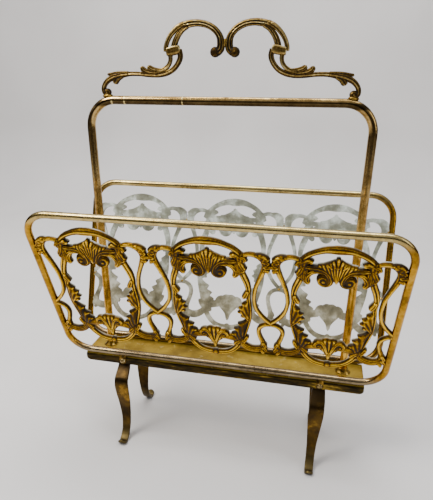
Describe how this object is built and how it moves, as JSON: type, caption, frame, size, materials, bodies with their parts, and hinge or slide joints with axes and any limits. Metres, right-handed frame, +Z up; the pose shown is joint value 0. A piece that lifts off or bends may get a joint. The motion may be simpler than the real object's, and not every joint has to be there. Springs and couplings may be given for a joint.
{
  "type": "magazine rack",
  "caption": "Antiqued brass magazine rack with openwork cast sides leaning out from a footed base plate and a tall handle topped by cast scrolls.",
  "frame": {"origin": "Middle of the footprint, on the ground that the four feet stand on.", "axes": "+X along the rack, to the right seen from the front; +Y from front to rear; +Z up."},
  "size_m": [0.4066, 0.1912, 0.5062],
  "materials": {
    "rod_brass": "drawn rod, worn gold with dark patina on top",
    "bar_brass": "drawn bar, dulled and pale with age",
    "cast_brass": "sand-cast relief, bright on the high parts and dark in the hollows",
    "sheet_brass": "rolled sheet, dull khaki gold with darker lips",
    "leg_brass": "bent strip with dark brown patina, worn at the knee and toe",
    "fastener_brass": "turned, worn bright on the heads"
  },
  "bodies": {
    "root": {"base_plate": "sheet_brass", "front_frame": "rod_brass", "rear_frame": "rod_brass", "front_cartouche_left": "cast_brass", "front_cartouche_middle": "cast_brass", "front_cartouche_right": "cast_brass", "rear_cartouche_left": "cast_brass", "rear_cartouche_middle": "cast_brass", "rear_cartouche_right": "cast_brass", "handle_frame": "bar_brass", "handle_scroll_left": "cast_brass", "handle_scroll_right": "cast_brass", "handle_washer_left": "fastener_brass", "handle_washer_right": "fastener_brass", "handle_nut_left": "fastener_brass", "handle_nut_right": "fastener_brass", "leg_front_left": "leg_brass", "leg_front_right": "leg_brass", "leg_rear_left": "leg_brass", "leg_rear_right": "leg_brass", "frame_lug_front_left": "fastener_brass", "frame_lug_front_right": "fastener_brass", "frame_lug_rear_left": "fastener_brass", "frame_lug_rear_right": "fastener_brass", "leg_screw_front_left": "fastener_brass", "leg_screw_front_right": "fastener_brass", "leg_screw_rear_left": "fastener_brass", "leg_screw_rear_right": "fastener_brass", "leg_nut_front_left": "fastener_brass", "leg_nut_front_right": "fastener_brass", "leg_nut_rear_left": "fastener_brass", "leg_nut_rear_right": "fastener_brass"}
  },
  "joints": []
}
